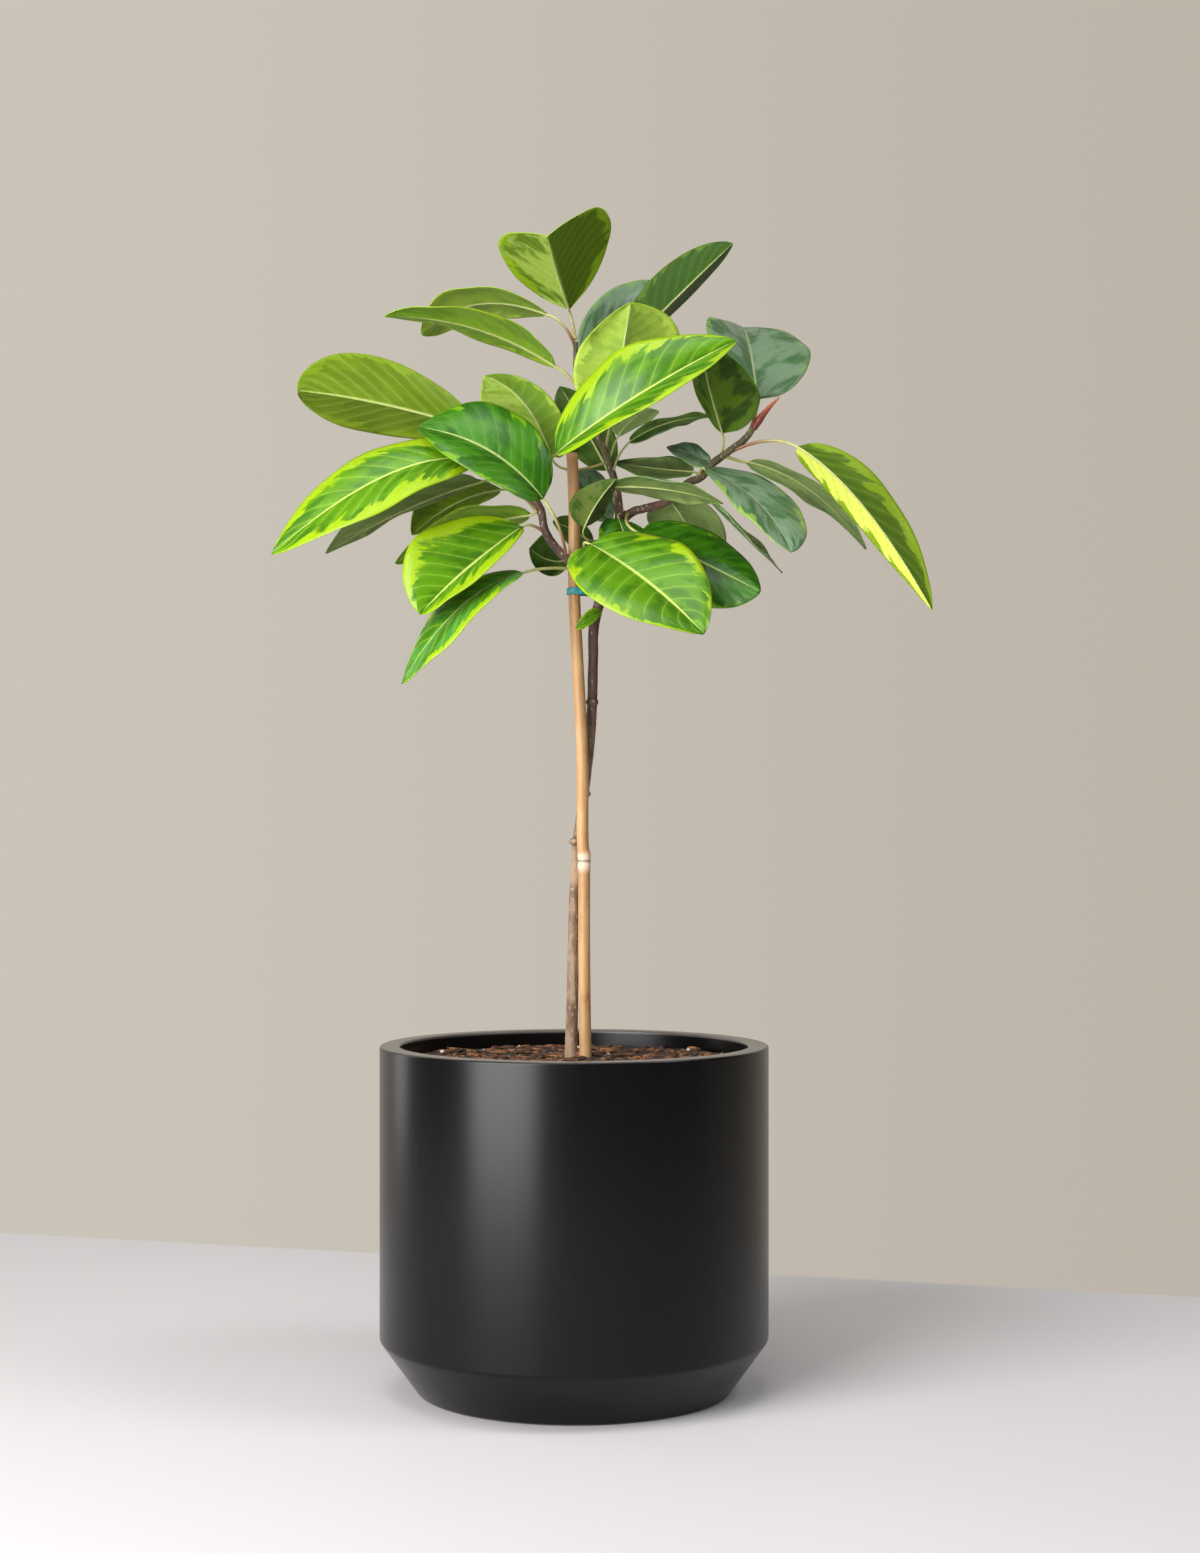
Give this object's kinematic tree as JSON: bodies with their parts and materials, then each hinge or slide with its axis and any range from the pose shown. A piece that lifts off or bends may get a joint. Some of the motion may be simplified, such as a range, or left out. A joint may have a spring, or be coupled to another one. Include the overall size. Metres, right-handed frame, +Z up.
{
  "type": "potted rubber plant",
  "caption": "Variegated broad-leaved rubber plant trained as a small tree on a bamboo stake, growing in a black cylindrical planter with a chamfered foot.",
  "frame": {"origin": "centre of the flat foot of the planter, on the resting plane", "axes": "+Z up along the planter's axis; the plant's front faces -Y; +X is to the right seen from the front"},
  "size_m": [0.5842, 0.35, 1.0577],
  "materials": {
    "pot_black": "satin-matt black composite, smooth",
    "soil_brown": "loose dark potting mix with bark fibres",
    "bark_brown": "grey-brown young bark, dull",
    "bamboo_tan": "dry bamboo, satin",
    "tie_teal": "soft teal plant tie",
    "bud_red": "smooth red-brown bud sheath",
    "leaf_green": "leathery green leaf with lime margin, semi-gloss above and dull below"
  },
  "bodies": {
    "root": {"pot": "pot_black", "soil": "soil_brown", "stem": "bark_brown", "stake": "bamboo_tan", "tie": "tie_teal", "bud_right": "bud_red", "bud_left": "bud_red", "leaf_top_a": "leaf_green", "leaf_top_b": "leaf_green", "leaf_top_c": "leaf_green", "leaf_top_d": "leaf_green", "leaf_top_e": "leaf_green", "leaf_out_a": "leaf_green", "leaf_out_b": "leaf_green", "leaf_out_c": "leaf_green", "leaf_left_a": "leaf_green", "leaf_left_b": "leaf_green", "leaf_left_c": "leaf_green", "leaf_left_d": "leaf_green", "leaf_mid_a": "leaf_green", "leaf_right_a": "leaf_green", "leaf_right_b": "leaf_green", "leaf_right_c": "leaf_green", "leaf_right_d": "leaf_green", "leaf_right_e": "leaf_green", "leaf_right_f": "leaf_green", "leaf_right_g": "leaf_green", "leaf_right_h": "leaf_green", "leaf_right_i": "leaf_green", "leaf_core_a": "leaf_green", "leaf_core_b": "leaf_green", "leaf_core_c": "leaf_green", "leaf_core_d": "leaf_green", "leaf_core_e": "leaf_green", "leaf_core_f": "leaf_green", "leaf_front_a": "leaf_green", "leaf_front_b": "leaf_green", "leaf_front_c": "leaf_green", "leaf_front_d": "leaf_green", "leaf_front_e": "leaf_green", "leaf_low_a": "leaf_green", "leaf_low_b": "leaf_green", "leaf_low_c": "leaf_green", "leaf_sprout": "leaf_green"}
  },
  "joints": []
}
